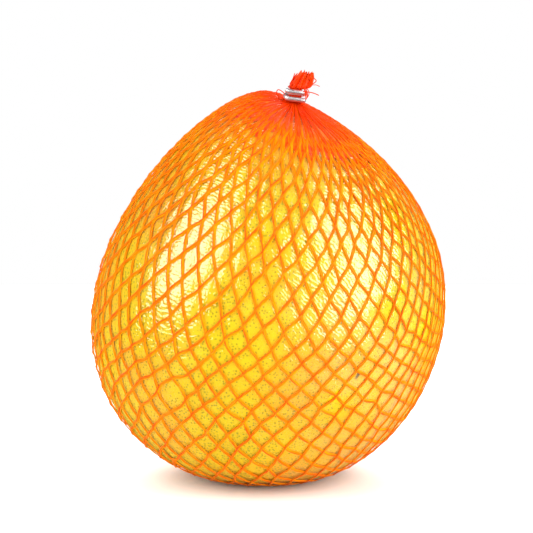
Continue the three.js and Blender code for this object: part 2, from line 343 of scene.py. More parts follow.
netting = dict(
    upperTilt=19.0, upperAzimuth=-36.0,     # degrees
    lowerTilt=45.0, lowerAzimuth=-106.0,
    upperNeckAxis=(0.06, -0.12, 1.0),
    neckHalfWidth=2.6 * mm,
    neckHalfDepth=2.3 * mm,
    clipWire=2.1 * mm,
    clipPitch=2.7 * mm,
    clipTurns=1.5,
    clipSquareness=0.5,
    shoulder=1.3 * mm,
    footInset=0.9 * mm,      # how far inside the neck's surface the strands end
    meshesAround=48,         # about as many as the photograph shows
    strandLength=7.2 * mm,
    gatherReach=9 * mm,      # where the meshes end and the gather begins
    stationsPerRow=6,
    nodeEase=0.22,           # how long the strands run side by side at a crossing
    jitterAround=0.07, jitterUp=0.05,   # of a mesh
    cordRadius=0.275 * mm, cordSides=5, cordFlatness=0.85,
    finerRadius=0.14 * mm, finerSides=4,
    cordAside=0.26 * mm,
    finerAside=0.6 * mm,
    over=0.16 * mm,          # one family passes over the other at the crossings
    strandWander=0.035 * mm, wanderSpan=25,     # stations that the wander is taken over
    crowdedBelow=2.0 * mm,   # strands closer together than this grow finer
    weightFrom=0.88, weightSpread=0.24,         # thickness of the strands, from one to the next
    leadingWeight=0.3,       # each family is thicker on the side that it rises from
    crossingWeight=0.35,     # thicker at the crossings
    tapeMiddle=0.05 * mm, tapeEdge=0.28 * mm,   # how far the flat tape lies below the cords
    tapeWeb=1.05 * mm,       # its half width at a crossing
    tapeBesideFiner=0.1 * mm,
    closedReach=30 * mm,     # nearer the gathers than this the meshes close up
    closing=2.0, closingWaves=(8, 14, 6, 16),   # how soon they do, and how unevenly
    neckReach=1.5 * mm,      # from the neck's axis to the strands in it
    lift=2.2 * mm,           # middle of the cords above the peel's own line
    # one mesh at the front left is pulled wide open
    wideMesh=dict(row=17, mesh=32, meshWidth=9.4 * mm, rowHeight=5.4 * mm, push=2.4 * mm,
                  reach=8.5 * mm),
    seed=5,
)


def turnTowards(tilt, azimuth):
    tilt, azimuth = math.radians(tilt), math.radians(azimuth)
    return np.array([-math.sin(azimuth), math.cos(azimuth), 0.0]) * tilt


upperTurn = turnTowards(netting["upperTilt"], netting["upperAzimuth"])
lowerTurn = turnTowards(netting["lowerTilt"], netting["lowerAzimuth"])


def netPoints(phi, theta, offset):
    phi, theta, offset = np.broadcast_arrays(
        np.asarray(phi, float), np.asarray(theta, float), np.asarray(offset, float))
    way = directionsOf(phi, theta)
    turn = mix(lowerTurn, upperTurn, smooth(phi / math.pi)[..., None])
    angle = np.linalg.norm(turn, axis=-1, keepdims=True)
    axis = turn / angle
    along = (axis * way).sum(-1, keepdims=True)
    way = way * np.cos(angle) + np.cross(axis, way) * np.sin(angle) + axis * along * (1 - np.cos(angle))
    upFromBase = np.arccos(np.clip(-way[..., 2], -1, 1))
    return bodyPoints(upFromBase, np.arctan2(way[..., 1], way[..., 0]), offset)


def neckFrame(pole, axis):
    axis = axis / np.linalg.norm(axis)
    across = np.array([1.0, 0, 0]) - axis * axis[0]
    across /= np.linalg.norm(across)
    return dict(pole=pole, axis=axis, across=across, depth=np.cross(axis, across))


def poleOf(phi):
    return netPoints(phi, 0.0, fruit["netInside"])


upperNeck = neckFrame(poleOf(math.pi), np.array(netting["upperNeckAxis"]))
lowerNeck = neckFrame(poleOf(0.0), netPoints(0.0, 0.0, mm) - netPoints(0.0, 0.0, 0.0))


def neckPoints(neck, along, theta, halfWidth, halfDepth, power=1.0):
    def oval(v):
        return np.sign(v) * np.abs(v) ** power
    along, theta, halfWidth, halfDepth = np.broadcast_arrays(along, theta, halfWidth, halfDepth)
    return (
        neck["pole"] + along[..., None] * neck["axis"]
        + (halfWidth * oval(np.cos(theta)))[..., None] * neck["across"]
        + (halfDepth * oval(np.sin(theta)))[..., None] * neck["depth"]
    )


# rows of crossings, as far apart as strands of one length allow
def netRows(s):
    rows = []
    phi = s["gatherReach"] / fruitRadius
    gone, step = 1.0, 0.0
    reach, height = profile(np.float64(phi))
    while phi < math.pi / 2 or reach > s["gatherReach"]:
        if gone >= step:
            rows.append(phi)
            step = math.sqrt(s["strandLength"] ** 2 - (math.pi * reach / s["meshesAround"]) ** 2)
            gone = 0.0
        phi += 0.002    # radians
        nextReach, nextHeight = profile(np.float64(phi))
        gone += math.hypot(nextReach - reach, nextHeight - height)
        reach, height = nextReach, nextHeight
    return np.array(rows)


rowAngles = netRows(netting)
lastRow = len(rowAngles) - 1
ends = dict(
    lower=dict(neck=lowerNeck, pole=0.0, edge=rowAngles[0], sign=-1),
    upper=dict(neck=upperNeck, pole=math.pi, edge=rowAngles[lastRow], sign=1),
)
print("netting rows", len(rowAngles))


def gatherPoints(end, t, theta, offset):
    # t is 1 at the edge on the fruit and 0 at the foot of the neck; theta is the netting's own
    s = netting
    t, theta, offset = np.broadcast_arrays(t, theta, offset)
    onSkin = np.maximum(t, 0.5)     # the outer half leaves the fruit, the inner half runs to the foot
    onFruit = netPoints(mix(end["pole"], end["edge"], onSkin), theta, offset)
    spare = offset - fruit["netInside"]
    halfWidth = s["neckHalfWidth"] - s["footInset"] + spare
    halfDepth = s["neckHalfDepth"] - s["footInset"] + spare
    climb = (1 - onSkin) ** 2 * 4 * s["shoulder"]
    onNeck = neckPoints(end["neck"], climb, end["sign"] * theta, halfWidth, halfDepth)
    points = mix(onFruit, onNeck, smooth((1 - onSkin) * 1.3)[..., None])
    foot = neckPoints(end["neck"], np.full(t.shape, s["shoulder"]), end["sign"] * theta,
                      halfWidth, halfDepth)
    return mix(foot, points, np.clip(t * 2, 0, 1)[..., None])


def nettingPoints(u, theta, offset):
    # u counts rows; below 0 and above the last row it runs up the gathers
    u, theta, offset = np.broadcast_arrays(u, theta, offset)
    points = netPoints(np.interp(u, np.arange(lastRow + 1), rowAngles), theta, offset)
    for inEnd, t, end in (
        (u < 0, 1 + u, ends["lower"]),
        (u > lastRow, 1 - (u - lastRow), ends["upper"]),
    ):
        if inEnd.any():
            points[inEnd] = gatherPoints(end, t[inEnd], theta[inEnd], offset[inEnd])
    return points


def onFloor(points):
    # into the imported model's place; nothing reaches below the ground
    placed = points + standing
    placed[..., 2] = np.maximum(placed[..., 2], 0.0)
    return placed


# materials

def addNearest(tree, place, start, end):
    # 0 at the foot of either gather, 1 beyond its reach
    far = []
    for neck in (upperNeck, lowerNeck):
        away = addNode(tree, "ShaderNodeVectorMath", {"operation": "DISTANCE"},
                       links={0: (place, "Object")}, values={1: tuple(neck["pole"] + standing)})
        far.append(addNode(tree, "ShaderNodeMapRange", {"interpolation_type": "SMOOTHSTEP"},
                           links={"Value": (away, "Value")}, values={"From Min": start, "From Max": end}))
    return addNode(tree, "ShaderNodeMath", {"operation": "MINIMUM"},
                   links={0: (far[0], "Result"), 1: (far[1], "Result")})


peelLook = dict(
    yellow="#F2C800", green="#E2CA00", warm="#F4AE00", cloudSize=62.5 * mm,
    # painted light near the gathers: this orange, full within the first distance, gone beyond the second
    paintedNetLight="#FFA600", paintedNetLightFrom=22 * mm, paintedNetLightTo=56 * mm,
    gland="#948E0C", glandSpacing=1.3 * mm, glandSize=0.38 * mm,
    glandShare=0.85, glandBump=0.35, glandDepth=0.3 * mm,
    # one short brown graze on the right; its size is half its width and half its length
    graze="#5A2E04", grazeAt=(35.7 * mm, -62.1 * mm, 54.7 * mm), grazeTilt=27.0,
    grazeSize=(0.8 * mm, 2.3 * mm), grazeShare=0.95, grazeFades=(0.5, 1.1),
    roughness=0.5, specular=0.25, ior=1.46,
)


def makePeelMaterial(s):
    # waxed citrus rind, grown: soft sheen, deep yellow, a fine dark oil gland every 1.3 mm
    material, tree = newMaterial("waxedCitrusRind")
    place = addNode(tree, "ShaderNodeTexCoord")
    cloud = addNode(tree, "ShaderNodeTexNoise", links={"Vector": (place, "Object")},
                    values={"Scale": 1 / s["cloudSize"], "Detail": 3.0, "Roughness": 0.5})
    tint = addNode(tree, "ShaderNodeValToRGB", links={"Fac": (cloud, "Fac")})
    setRamp(tint, [(0.34, toLinear(s["green"])), (0.5, toLinear(s["yellow"])), (0.68, toLinear(s["warm"]))])
    glands = addNode(tree, "ShaderNodeTexVoronoi", links={"Vector": (place, "Object")},
                     values={"Scale": 1 / s["glandSpacing"], "Randomness": 0.8})
    dotSize = s["glandSize"] / s["glandSpacing"]
    dot = addNode(tree, "ShaderNodeMapRange", links={"Value": (glands, "Distance")}, values={
        "From Min": 0.5 * dotSize, "From Max": 1.5 * dotSize, "To Min": s["glandShare"], "To Max": 0.0})
    spotted = addNode(tree, "ShaderNodeMix", {"data_type": "RGBA"}, links={"Factor": (dot, "Result")})
    tree.links.new(tint.outputs["Color"], spotted.inputs["A"])
    spotted.inputs["B"].default_value = toLinear(s["gland"])
    grazeWidth, grazeLength = s["grazeSize"]
    local = addNode(tree, "ShaderNodeMapping", {"vector_type": "TEXTURE"},
                    links={"Vector": (place, "Object")},
                    values={"Location": s["grazeAt"], "Rotation": (0, math.radians(s["grazeTilt"]), 0),
                            "Scale": (grazeWidth, grazeLength, grazeLength)})
    away = addNode(tree, "ShaderNodeVectorMath", {"operation": "LENGTH"}, links={0: (local, "Vector")})
    inner, outer = s["grazeFades"]
    scratch = addNode(tree, "ShaderNodeMapRange", links={"Value": (away, "Value")},
                      values={"From Min": inner, "From Max": outer, "To Min": s["grazeShare"], "To Max": 0.0})
    grazed = addNode(tree, "ShaderNodeMix", {"data_type": "RGBA"}, links={"Factor": (scratch, "Result")})
    tree.links.new(spotted.outputs["Result"], grazed.inputs["A"])
    grazed.inputs["B"].default_value = toLinear(s["graze"])
    # painted light: near the gathers the peel is painted orange for the light that has come through orange
    # netting
    nearest = addNearest(tree, place, s["paintedNetLightFrom"], s["paintedNetLightTo"])
    colour = addNode(tree, "ShaderNodeMix", {"data_type": "RGBA"}, links={"Factor": (nearest, "Value")})
    colour.inputs["A"].default_value = toLinear(s["paintedNetLight"])
    tree.links.new(grazed.outputs["Result"], colour.inputs["B"])
    bump = addNode(tree, "ShaderNodeBump", values={"Strength": s["glandBump"], "Distance": s["glandDepth"]},
                   links={"Height": (glands, "Distance")})
    skin = addNode(tree, "ShaderNodeBsdfPrincipled",
                   values={"Roughness": s["roughness"], "IOR": s["ior"], "Specular IOR Level": s["specular"]},
                   links={"Base Color": (colour, "Result"), "Normal": (bump, "Normal")})
    addNode(tree, "ShaderNodeOutputMaterial", links={"Surface": (skin, "BSDF")})
    return material


filmLook = dict(
    haze="#FFF0B4", hazeLow=0.0, hazeHigh=0.05, cloudSize=29.4 * mm, cloudRange=(0.38, 0.72),
    rightMilkiness=4.0, rightMilkinessFrom=-5 * mm, rightMilkinessTo=45 * mm,    # milkier towards the right
    gloss="#FFFAE6", roughness=0.09, ior=1.5,
    faces=3.2, atMost=0.15,     # the front, the back and the folds behind shine together, up to this much
    # ripples coarser than real ones, so that they show: fine bands and broader swells
    rippleSpacing=1.502 * mm, bandShare=0.35, broadRipple=3.12 * mm,
    rippleBump=0.8, rippleDepth=0.4 * mm,
)


def makeFilmMaterial(s):
    # blown polyethylene stretch film, 20 microns: clear, slightly milky, glossy along its creases
    material, tree = newMaterial("blownStretchFilm")
    place = addNode(tree, "ShaderNodeTexCoord")
    cloud = addNode(tree, "ShaderNodeTexNoise", links={"Vector": (place, "Object")},
                    values={"Scale": 1 / s["cloudSize"], "Detail": 4.0, "Roughness": 0.6})
    thin, thick = s["cloudRange"]
    haze = addNode(tree, "ShaderNodeMapRange", links={"Value": (cloud, "Fac")}, values={
        "From Min": thin, "From Max": thick, "To Min": s["hazeLow"], "To Max": s["hazeHigh"]})
    parts = addNode(tree, "ShaderNodeSeparateXYZ", links={"Vector": (place, "Object")})
    # the film grows milkier towards the right
    towardsRight = addNode(tree, "ShaderNodeMapRange", {"interpolation_type": "SMOOTHSTEP"},
                     links={"Value": (parts, "X")},
                     values={"From Min": s["rightMilkinessFrom"], "From Max": s["rightMilkinessTo"],
                             "To Min": 1.0, "To Max": s["rightMilkiness"]})
    milky = addNode(tree, "ShaderNodeMath", {"operation": "MULTIPLY"},
                    links={0: (haze, "Result"), 1: (towardsRight, "Result")})
    stretch = addNode(tree, "ShaderNodeMapping", links={"Vector": (place, "Object")},
                      values={"Rotation": (0.3, 0.7, 0.2), "Scale": (1.0, 1.0, 0.3)})
    ripples = addNode(tree, "ShaderNodeTexNoise", links={"Vector": (stretch, "Vector")}, values={
        "Scale": 1 / s["broadRipple"], "Detail": 2.5, "Roughness": 0.55, "Distortion": 0.6})
    wavePeriod = 2 * math.pi / (10 * math.sqrt(3))      # of diagonal bands whose scale is 1
    drawn = addNode(tree, "ShaderNodeTexWave", {"bands_direction": "DIAGONAL"},
                    links={"Vector": (place, "Object")},
                    values={"Scale": wavePeriod / s["rippleSpacing"], "Distortion": 7.0, "Detail": 2.0,
                            "Detail Scale": 1.4})
    height = addNode(tree, "ShaderNodeMath", {"operation": "MULTIPLY_ADD"}, values={1: s["bandShare"]},
                     links={0: (drawn, "Fac"), 2: (ripples, "Fac")})
    bump = addNode(tree, "ShaderNodeBump", links={"Height": (height, "Value")},
                   values={"Strength": s["rippleBump"], "Distance": s["rippleDepth"]})
    clear = addNode(tree, "ShaderNodeBsdfTransparent")
    milk = addNode(tree, "ShaderNodeBsdfDiffuse", values={"Color": toLinear(s["haze"])},
                   links={"Normal": (bump, "Normal")})
    shine = addNode(tree, "ShaderNodeBsdfGlossy", links={"Normal": (bump, "Normal")},
                    values={"Color": toLinear(s["gloss"]), "Roughness": s["roughness"]})
    body = addNode(tree, "ShaderNodeMixShader", links={"Fac": (milky, "Value")})
    tree.links.new(clear.outputs["BSDF"], body.inputs[1])
    tree.links.new(milk.outputs["BSDF"], body.inputs[2])
    edge = addNode(tree, "ShaderNodeFresnel", values={"IOR": s["ior"]}, links={"Normal": (bump, "Normal")})
    both = addNode(tree, "ShaderNodeMath", {"operation": "MULTIPLY", "use_clamp": True},
                   links={0: (edge, "Fac")}, values={1: s["faces"]})
    held = addNode(tree, "ShaderNodeMath", {"operation": "MINIMUM"}, links={0: (both, "Value")},
                   values={1: s["atMost"]})
    film = addNode(tree, "ShaderNodeMixShader", links={"Fac": (held, "Value")})
    tree.links.new(body.outputs["Shader"], film.inputs[1])
    tree.links.new(shine.outputs["BSDF"], film.inputs[2])
    addNode(tree, "ShaderNodeOutputMaterial", links={"Surface": (film, "Shader")})
    return material


# near: painted light; crowded together at the gathers the yarn is painted redder, for the light that goes
# through more of it
cordLook = dict(deep="#E65800", bright="#F48400", near="#EC3600", cloudSize=8.33 * mm,
                roughness=0.42, specular=0.12, ior=1.5)
gatherLook = dict(deep="#DC2400", bright="#FF6A00", near="#F23C00", cloudSize=2.38 * mm,
                  roughness=0.38, specular=0.2, ior=1.5)
finerLook = dict(deep="#F48000", bright="#FFA404", near="#F85800", cloudSize=6.25 * mm,
                 roughness=0.5, specular=0.06, ior=1.5)
crowding = dict(start=6 * mm, end=44 * mm)


def makeYarnMaterial(name, s):
    # knitted polyethylene yarn, dyed through: bright orange with a plastic shine
    material, tree = newMaterial(name)
    place = addNode(tree, "ShaderNodeTexCoord")
    cloud = addNode(tree, "ShaderNodeTexNoise", links={"Vector": (place, "Object")},
                    values={"Scale": 1 / s["cloudSize"], "Detail": 3.0, "Roughness": 0.6})
    tint = addNode(tree, "ShaderNodeValToRGB", links={"Fac": (cloud, "Fac")})
    setRamp(tint, [(0.36, toLinear(s["deep"])), (0.64, toLinear(s["bright"]))])
    # painted light: the yarn is painted redder towards the gathers
    nearest = addNearest(tree, place, crowding["start"], crowding["end"])
    colour = addNode(tree, "ShaderNodeMix", {"data_type": "RGBA"}, links={"Factor": (nearest, "Value")})
    colour.inputs["A"].default_value = toLinear(s["near"])
    tree.links.new(tint.outputs["Color"], colour.inputs["B"])
    yarn = addNode(tree, "ShaderNodeBsdfPrincipled", links={"Base Color": (colour, "Result")}, values={
        "Roughness": s["roughness"], "IOR": s["ior"], "Specular IOR Level": s["specular"]})
    addNode(tree, "ShaderNodeOutputMaterial", links={"Surface": (yarn, "BSDF")})
    return material


# the drawing lines are far coarser than real ones, so that they show
wireLook = dict(colour="#E4E2E4", roughness=(0.38, 0.6),
                lineSize=1.111 * mm, lineBump=0.2, lineDepth=0.1 * mm)


def makeWireMaterial(s):
    # drawn aluminium wire, pressed: bright, nearly white, with faint drawing lines
    material, tree = newMaterial("drawnAluminiumWire")
    place = addNode(tree, "ShaderNodeTexCoord")
    lines = addNode(tree, "ShaderNodeTexNoise", links={"Vector": (place, "Object")},
                    values={"Scale": 1 / s["lineSize"], "Detail": 2.0})
    rough = addNode(tree, "ShaderNodeMapRange", links={"Value": (lines, "Fac")},
                    values={"To Min": s["roughness"][0], "To Max": s["roughness"][1]})
    bump = addNode(tree, "ShaderNodeBump", values={"Strength": s["lineBump"], "Distance": s["lineDepth"]},
                   links={"Height": (lines, "Fac")})
    metal = addNode(tree, "ShaderNodeBsdfPrincipled",
                    values={"Base Color": toLinear(s["colour"]), "Metallic": 1.0},
                    links={"Roughness": (rough, "Result"), "Normal": (bump, "Normal")})
    addNode(tree, "ShaderNodeOutputMaterial", links={"Surface": (metal, "BSDF")})
    return material


rind = makePeelMaterial(peelLook)
stretchFilm = makeFilmMaterial(filmLook)
knittedCord = makeYarnMaterial("knittedPolyethyleneCord", cordLook)
gatheredNetting = makeYarnMaterial("gatheredPolyethyleneNetting", gatherLook)
laidInYarn = makeYarnMaterial("laidInPolyethyleneYarn", finerLook)
clipWire = makeWireMaterial(wireLook)
print("materials made")


# the peel

peel = dict(
    around=330, rings=200, proud=1.4 * mm,
    # the sets of waves here and below are what waves() takes: seed, count, low and high
    swell=0.2 * mm, swellWaves=(21, 24, 8, 26),
    pits=0.1 * mm, pitWaves=(22, 30, 60, 130),
    # the stem scar is a dish with a low rim round it
    scar=0.9 * mm, scarReach=4.2 * mm, rimAt=1.25, rimHeight=0.35, rimNarrowness=9,
)


def makePeel(s):
    phi = (np.arange(s["rings"]) + 1) / (s["rings"] + 1) * math.pi
    theta = np.arange(s["around"]) / s["around"] * 2 * math.pi
    ways = directionsOf(phi[:, None], theta[None, :])
    swell = waves(*s["swellWaves"])(ways) * s["swell"]
    pits = -np.abs(waves(*s["pitWaves"])(ways)) * s["pits"]
    reach, _ = profile(phi)
    fromStem = reach[:, None] / s["scarReach"]
    rim = s["rimHeight"] * np.exp(-((fromStem - s["rimAt"]) ** 2) * s["rimNarrowness"])
    upper = phi[:, None] > math.pi / 2
    scar = np.where(upper, -s["scar"] * (np.exp(-fromStem ** 4) - rim), 0)
    skin = bodyPoints(phi[:, None], theta[None, :], s["proud"] + swell + pits + scar)
    low = bodyPoints(0.0, 0.0, s["proud"])
    top = bodyPoints(math.pi, 0.0, s["proud"] - s["scar"])
    points = np.concatenate([skin.reshape(-1, 3), [low, top]])
    count = s["rings"] * s["around"]
    faces = [
        gridFaces(s["rings"], s["around"]),
        np.concatenate([
            fanFaces(count, np.arange(s["around"]), flip=True),
            fanFaces(count + 1, np.arange(count - s["around"], count)),
        ]),
    ]
    makePiece("peel", onFloor(points), faces, rind, "pomelo")


makePeel(peel)
print("peel made")


# stretch film, with its creases

film = dict(
    perMesh=7, endRings=7, proud=1.72 * mm, pillow=0.3 * mm,
    lowEnd=0.03, topEnd=0.012,      # radians left open round the two ends
    creases=90, creaseHeight=0.34 * mm, creaseWidth=(0.9 * mm, 1.7 * mm), creaseLength=(0.25, 0.9),
    creaseLean=(0.6, 0.0, 1.6),     # most of them run this way
    creaseBend=0.05, bendWaves=(32, 12, 2, 5),
    creaseShare=(0.4, 1.0),         # of the full height
    underStrands=0.45,              # what the strands leave of a crease
    slack=0.11 * mm, slackWaves=(33, 26, 14, 44), seed=31,
)


def creaseField(s, ways):
    # long low ridges, each a short stretch of a bent ring round the fruit
    draw = np.random.default_rng(s["seed"])
    bend = waves(*s["bendWaves"])(ways)
    height = np.zeros(ways.shape[:-1])
    for _ in range(s["creases"]):
        middle = draw.normal(size=3)
        middle /= np.linalg.norm(middle)
        along = draw.normal(size=3) + np.array(s["creaseLean"])
        along -= middle * (along @ middle)
        along /= np.linalg.norm(along)
        across = np.cross(middle, along)
        half = draw.uniform(*s["creaseLength"]) / 2
        width = draw.uniform(*s["creaseWidth"]) / fruitRadius
        side = ways @ across + s["creaseBend"] * bend * draw.uniform(-1, 1)
        far = ways @ along
        near = (ways @ middle > 0) & (np.abs(far) < half)
        ridge = np.exp(-((side / width) ** 2)) * np.cos(np.clip(far / half, -1, 1) * math.pi / 2)
        height = np.maximum(height, np.where(near, ridge * draw.uniform(*s["creaseShare"]), 0))
    return height


def makeFilm(s):
    # on the netting's own grid: the film bulges a little in every mesh
    u = np.arange(lastRow * s["perMesh"] + 1) / s["perMesh"]
    phi = np.concatenate([
        np.linspace(s["lowEnd"], rowAngles[0], s["endRings"])[:-1],
        np.interp(u, np.arange(lastRow + 1), rowAngles),
        np.linspace(rowAngles[lastRow], math.pi - s["topEnd"], s["endRings"])[1:]])
    u = np.concatenate([np.zeros(s["endRings"] - 1), u, np.full(s["endRings"] - 1, lastRow)])[:, None]
    around = netting["meshesAround"] * s["perMesh"]
    position = np.arange(around) / s["perMesh"]
    theta = position / netting["meshesAround"] * 2 * math.pi
    pillow = np.abs(np.sin(math.pi * (position - u / 2)) * np.sin(math.pi * (position + u / 2)))
    ways = directionsOf(phi[:, None], theta[None, :])
    slack = waves(*s["slackWaves"])(ways) * s["slack"]
    creases = creaseField(s, ways) * s["creaseHeight"] * mix(s["underStrands"], 1.0, pillow)
    offset = s["proud"] + slack + pillow * s["pillow"] + creases
    points = netPoints(phi[:, None], theta[None, :], offset).reshape(-1, 3)
    makePiece("stretchFilm", onFloor(points), [gridFaces(len(phi), around)],
              stretchFilm, "film_wrap")


makeFilm(film)
print("film made")


# the netting

def familyLines(s, way):
    # the middle lines of one family of strands: way 1 rises to the right, -1 to the left
    around = s["meshesAround"]
    draw = np.random.default_rng(s["seed"])
    aside = draw.normal(size=(lastRow + 1, around)) * s["jitterAround"]
    up = draw.normal(size=(lastRow + 1, around)) * s["jitterUp"]
    u = np.arange(-s["stationsPerRow"], (lastRow + 1) * s["stationsPerRow"] + 1) / s["stationsPerRow"]
    inside = np.clip(u, 0, lastRow)
    eased = inside - s["nodeEase"] * np.sin(2 * math.pi * inside) / (2 * math.pi)
    lines = np.arange(around)[:, None]
    position = lines + way * eased[None, :] / 2
    before = np.floor(inside).astype(int)
    after = np.minimum(before + 1, lastRow)
    share = smooth(inside - before)

    def atRows(field, row):
        crossing = (2 * lines + way * row - row % 2) // 2
        return field[row, crossing % around]

    position = position + mix(atRows(aside, before[None, :]), atRows(aside, after[None, :]), share)
    shift = mix(atRows(up, before[None, :]), atRows(up, after[None, :]), share)
    fade = np.clip(np.minimum(inside, lastRow - inside), 0, 1)
    rows = u[None, :] + shift * fade
    wide = s["wideMesh"]
    beside = ((position - wide["mesh"] + around / 2) % around - around / 2) * wide["meshWidth"]
    above = (rows - wide["row"]) * wide["rowHeight"]
    far = np.maximum(np.hypot(beside, above), mm)
    push = wide["push"] * np.exp(-((far / wide["reach"]) ** 2)) / far
    position = position + beside * push / wide["meshWidth"]
    rows = rows + above * push / wide["rowHeight"]
    return rows, 2 * math.pi * position / around


def surfaceFrame(u, theta, offset):
    # the strands' middle lines, with the ways out of the fruit and sideways at each point
    littleOut = 0.3 * mm
    centre = nettingPoints(u, theta, offset)
    out = nettingPoints(u, theta, offset + littleOut) - centre
    out /= np.linalg.norm(out, axis=-1, keepdims=True)
    along = np.gradient(centre, axis=-2)
    along /= np.linalg.norm(along, axis=-1, keepdims=True)
    side = np.cross(along, out)
    side /= np.linalg.norm(side, axis=-1, keepdims=True)
    return centre, np.cross(side, along), side


def tubes(centre, out, side, radius, sides, flatness=1.0):
    # closed tubes along many lines at once; the rings are turned a little off the frame
    lines, stations = centre.shape[:2]
    angles = np.arange(sides) / sides * 2 * math.pi + 0.3
    ring = (
        centre[:, :, None, :]
        + (radius[..., None, None] * flatness * np.sin(angles)[:, None]) * out[:, :, None, :]
        + (radius[..., None, None] * np.cos(angles)[:, None]) * side[:, :, None, :]
    )
    tips = np.stack([centre[:, 0], centre[:, -1]], 1)
    points = np.concatenate([ring.reshape(-1, 3), tips.reshape(-1, 3)])
    perLine = stations * sides
    quads = gridFaces(stations, sides)
    quads = (np.arange(lines)[:, None, None] * perLine + quads[None]).reshape(-1, 4)
    first = np.arange(sides)
    caps = []
    for line in range(lines):
        base = line * perLine
        tip = lines * perLine + 2 * line
        caps.append(fanFaces(tip, base + first, flip=True))
        caps.append(fanFaces(tip + 1, base + perLine - sides + first))
    return points, [quads, np.concatenate(caps)]


def joined(parts):
    # several (points, faces) into one
    points, quads, triangles, start = [], [], [], 0
    for somePoints, faces in parts:
        points.append(somePoints)
        for f in faces:
            (quads if f.shape[1] == 4 else triangles).append(f + start)
        start += len(somePoints)
    faces = [np.concatenate(group) for group in (quads, triangles) if group]
    return np.concatenate(points), faces


def nettingReach(u):
    # how far the netting stands from its own axis at each row, and in the necks
    reach, _ = profile(np.interp(u, np.arange(lastRow + 1), rowAngles))
    past = np.maximum(np.maximum(-u, u - lastRow), 0)
    return mix(reach, netting["neckReach"], np.clip(past, 0, 1))


def makeNetting(s, name, way):
    u, theta = familyLines(s, way)
    centre, out, side = surfaceFrame(u, theta, np.full(u.shape, s["lift"]))
    draw = np.random.default_rng(s["seed"] + 7 + way)
    lines = len(u)

    # strands crowd together in the gathers, so they grow finer there
    reach = nettingReach(u)
    crowded = np.clip(2 * math.pi * reach / s["meshesAround"] / s["crowdedBelow"], 0.4, 1.0)
    fromCrossing = np.abs(np.sin(math.pi * np.clip(u, 0, lastRow)))
    span = np.ones(s["wanderSpan"]) / s["wanderSpan"]
    wander = np.cumsum(draw.normal(size=u.shape), axis=1)
    wander = wander - np.stack([np.convolve(w, span, "same") for w in wander])
    wander *= s["strandWander"]
    leading = 1 + s["leadingWeight"] * np.clip(-way * centre[..., 0] / fruitRadius, -1, 1)
    weight = (s["weightFrom"] + s["weightSpread"] * draw.random((lines, 1))) * leading
    weight = weight * (1 + s["crossingWeight"] * (1 - fromCrossing) ** 3)
    over = s["over"] * way * np.cos(math.pi * np.clip(u, 0, lastRow)) ** 2

    aside = (-s["cordAside"] * (0.25 + 0.75 * fromCrossing) * crowded + wander)[..., None]
    points, faces = tubes(centre + aside * side + over[..., None] * out, out, side,
                          s["cordRadius"] * weight * crowded, s["cordSides"], s["cordFlatness"])
    makePiece(name + "Cord", onFloor(points), faces, knittedCord, "net")

    reachOut = s["finerAside"] * (0.3 + 0.7 * fromCrossing) * crowded + wander * 0.6
    belowCord = over[..., None] - s["tapeMiddle"]
    finerRadius = s["finerRadius"] * crowded * (0.9 + 0.2 * draw.random((lines, 1)))
    finer = [tubes(centre + reachOut[..., None] * side + belowCord * out, out, side,
                   finerRadius, s["finerSides"])]
    web = s["tapeWeb"] * (1 - fromCrossing) ** 2
    # towards the gathers the meshes close up: folds of netting lie over each other there
    spacing = math.pi * reach / s["meshesAround"]
    patchy = 0.75 + 0.5 * waves(*s["closingWaves"])(centre / fruitRadius)
    closing = (s["closedReach"] - reach) / s["closedReach"] * s["closing"] * patchy
    closing = np.clip(closing, 0, 1) * spacing
    leftEdge = -np.maximum((s["cordAside"] * fromCrossing + web) * crowded, closing)
    rightEdge = np.maximum((s["finerAside"] * fromCrossing + web + s["tapeBesideFiner"]) * crowded, closing)
    band = np.stack([
        centre + leftEdge[..., None] * side - s["tapeEdge"] * out,
        centre - s["tapeMiddle"] * out,
        centre + rightEdge[..., None] * side - s["tapeEdge"] * out,
    ], 2)
    stations = u.shape[1]
    quads = gridFaces(stations, 3, wrap=False)
    quads = (np.arange(lines)[:, None, None] * stations * 3 + quads[None]).reshape(-1, 4)
    finer.append((band.reshape(-1, 3), [quads]))
    points, faces = joined(finer)
    makePiece(name + "Yarn", onFloor(points), faces, laidInYarn, "net")


makeNetting(netting, "netRisingRight", 1)
makeNetting(netting, "netRisingLeft", -1)
print("netting made")


# gathers and tails

gather = dict(
    around=184, ringsOnFruit=26, lift=0.25 * mm,
    pleats=23, pleatDepth=0.8 * mm, finePleats=46,
    fingers=0.9,            # how far its torn edge reaches down the fruit
    neckPleats=11, neckPleatDepth=0.09, fineNeckDepth=0.05,
    tuck=0.5 * mm,          # the tail starts this far below the top of the clip
    seed=41,
)
# the tail bulges out over the clip and narrows to its cut end, leaning to one side
upperTail = dict(
    length=5.8 * mm, spread=1.75, tip=1.05, lean=2.0 * mm, aside=1.7 * mm, rag=2.9 * mm, threads=60, seed=43)
lowerTail = dict(
    length=5.0 * mm, spread=1.6, tip=1.1, lean=-0.8 * mm, aside=0.0, rag=2.0 * mm, threads=34, seed=44)


def tailWidth(tail, t):
    # in neck widths
    spread = tail["spread"]
    return np.interp(t, [0, 0.08, 0.3, 0.7, 1], [1, 0.85 * spread, spread, 0.85 * spread, tail["tip"]])


def tailLean(tail, end, t):
    t = np.asarray(t)[..., None]
    return (t ** 1.5 * tail["lean"] + smooth(t * 5) * tail["aside"]) * end["neck"]["across"]


def smoothRound(values, span):
    # running mean over a closed ring of values
    ring = np.convolve(np.tile(values, 3), np.ones(span) / span, "same")
    return ring[len(values):2 * len(values)]


